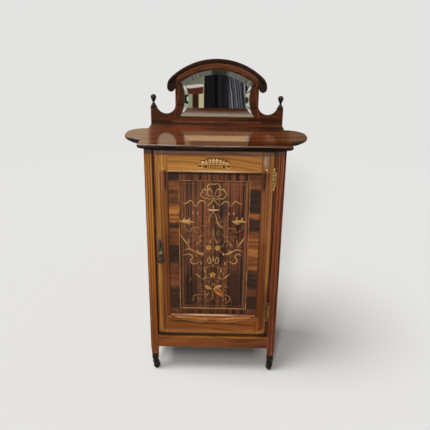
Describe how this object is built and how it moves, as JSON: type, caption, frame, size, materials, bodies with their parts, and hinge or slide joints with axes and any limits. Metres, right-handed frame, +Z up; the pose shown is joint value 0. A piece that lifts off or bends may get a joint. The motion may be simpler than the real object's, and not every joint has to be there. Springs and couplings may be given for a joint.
{
  "type": "chiffonier",
  "caption": "Inlaid rosewood music cabinet on castors: panelled door with drop handle and shelves behind, moulded top with round ears, arched gallery with bevelled mirror.",
  "frame": {"origin": "on the floor, under the middle of the whole cabinet's plan", "axes": "+X to the viewer's right, +Y to the back, +Z up; the door faces -Y"},
  "size_m": [0.754, 0.404, 1.3615],
  "materials": {
    "frame_rosewood": "French polished",
    "panel_rosewood": "French polished, striped figure",
    "gallery_rosewood": "French polished",
    "top_veneer": "high-gloss French polish",
    "boxwood": "polished",
    "inner_wood": "waxed",
    "ebonised_wood": "polished",
    "mirror_plate": "silvered, bevelled",
    "hinge_brass": "aged",
    "antique_brass": "dark, worn",
    "lock_steel": "plain",
    "castor_bronze": "dark bronzed"
  },
  "bodies": {
    "cabinet": {"front_left_leg": "frame_rosewood", "front_right_leg": "frame_rosewood", "rear_left_leg": "frame_rosewood", "rear_right_leg": "frame_rosewood", "front_bottom_rail": "frame_rosewood", "front_top_rail": "inner_wood", "back_bottom_rail": "inner_wood", "back_top_rail": "inner_wood", "side_bottom_rail_left": "frame_rosewood", "side_bottom_rail_right": "frame_rosewood", "side_top_rail_left": "frame_rosewood", "side_top_rail_right": "frame_rosewood", "side_panel_left": "frame_rosewood", "side_panel_right": "frame_rosewood", "back_panel": "inner_wood", "cabinet_floor": "inner_wood", "shelf_lower": "inner_wood", "shelf_middle": "inner_wood", "shelf_upper": "inner_wood", "shelf_bearers": "inner_wood", "glue_blocks": "inner_wood", "top_board": "top_veneer", "gallery_board": "gallery_rosewood", "crest": "gallery_rosewood", "mirror_glass": "mirror_plate", "mirror_back": "inner_wood", "finial_left": "ebonised_wood", "finial_right": "ebonised_wood", "strike_plate": "antique_brass", "hinge_fixed_leaf_upper": "hinge_brass", "hinge_fixed_leaf_lower": "hinge_brass", "hinge_pin_upper": "hinge_brass", "hinge_pin_lower": "hinge_brass", "castor_cups": "castor_bronze"},
    "door": {"door_stile_left": "frame_rosewood", "door_stile_right": "frame_rosewood", "door_top_rail": "frame_rosewood", "door_bottom_rail": "frame_rosewood", "door_panel": "panel_rosewood", "bead_top": "boxwood", "bead_bottom": "boxwood", "hinge_door_leaf_upper": "hinge_brass", "hinge_door_leaf_lower": "hinge_brass", "lock_case": "lock_steel", "handle_plate": "antique_brass", "handle_stud": "antique_brass"},
    "drop_handle": {"drop_handle": "antique_brass"},
    "lock_bolt": {"lock_bolt": "lock_steel"},
    "castor_front_left": {"castor_fork_front_left": "castor_bronze", "castor_axle_front_left": "castor_bronze"},
    "wheel_front_left": {"castor_wheel_front_left": "castor_bronze"},
    "castor_front_right": {"castor_fork_front_right": "castor_bronze", "castor_axle_front_right": "castor_bronze"},
    "wheel_front_right": {"castor_wheel_front_right": "castor_bronze"},
    "castor_rear_left": {"castor_fork_rear_left": "castor_bronze", "castor_axle_rear_left": "castor_bronze"},
    "wheel_rear_left": {"castor_wheel_rear_left": "castor_bronze"},
    "castor_rear_right": {"castor_fork_rear_right": "castor_bronze", "castor_axle_rear_right": "castor_bronze"},
    "wheel_rear_right": {"castor_wheel_rear_right": "castor_bronze"}
  },
  "joints": [
    {"name": "door_hinge", "type": "hinge", "parent": "cabinet", "child": "door", "pos_m": [0.2421, -0.175, 0.631], "axis": [0, 0, 1], "range_deg": [0, 150]},
    {"name": "drop_handle_swing", "type": "hinge", "parent": "door", "child": "drop_handle", "pos_m": [-0.2235, -0.184, 0.604], "axis": [-1, 0, 0], "range_deg": [-6, 80]},
    {"name": "lock_bolt_throw", "type": "slide", "parent": "door", "child": "lock_bolt", "axis": [-1, 0, 0], "range_m": [0, 0.008]},
    {"name": "castor_swivel_front_left", "type": "hinge", "parent": "cabinet", "child": "castor_front_left", "pos_m": [-0.263, -0.157, 0.05], "axis": [0, 0, 1], "continuous": true},
    {"name": "wheel_roll_front_left", "type": "hinge", "parent": "castor_front_left", "child": "wheel_front_left", "pos_m": [-0.25876, -0.15276, 0.0155], "axis": [0.7071, -0.7071, 0], "continuous": true},
    {"name": "castor_swivel_front_right", "type": "hinge", "parent": "cabinet", "child": "castor_front_right", "pos_m": [0.263, -0.157, 0.05], "axis": [0, 0, 1], "continuous": true},
    {"name": "wheel_roll_front_right", "type": "hinge", "parent": "castor_front_right", "child": "wheel_front_right", "pos_m": [0.26125, -0.15126, 0.0155], "axis": [0.9563, 0.2924, 0], "continuous": true},
    {"name": "castor_swivel_rear_left", "type": "hinge", "parent": "cabinet", "child": "castor_rear_left", "pos_m": [-0.263, 0.179, 0.05], "axis": [0, 0, 1], "continuous": true},
    {"name": "wheel_roll_rear_left", "type": "hinge", "parent": "castor_rear_left", "child": "wheel_rear_left", "pos_m": [-0.266, 0.1842, 0.0155], "axis": [0.866, 0.5, 0], "continuous": true},
    {"name": "castor_swivel_rear_right", "type": "hinge", "parent": "cabinet", "child": "castor_rear_right", "pos_m": [0.263, 0.179, 0.05], "axis": [0, 0, 1], "continuous": true},
    {"name": "wheel_roll_rear_right", "type": "hinge", "parent": "castor_rear_right", "child": "wheel_rear_right", "pos_m": [0.26505, 0.18464, 0.0155], "axis": [0.9397, -0.342, 0], "continuous": true}
  ]
}
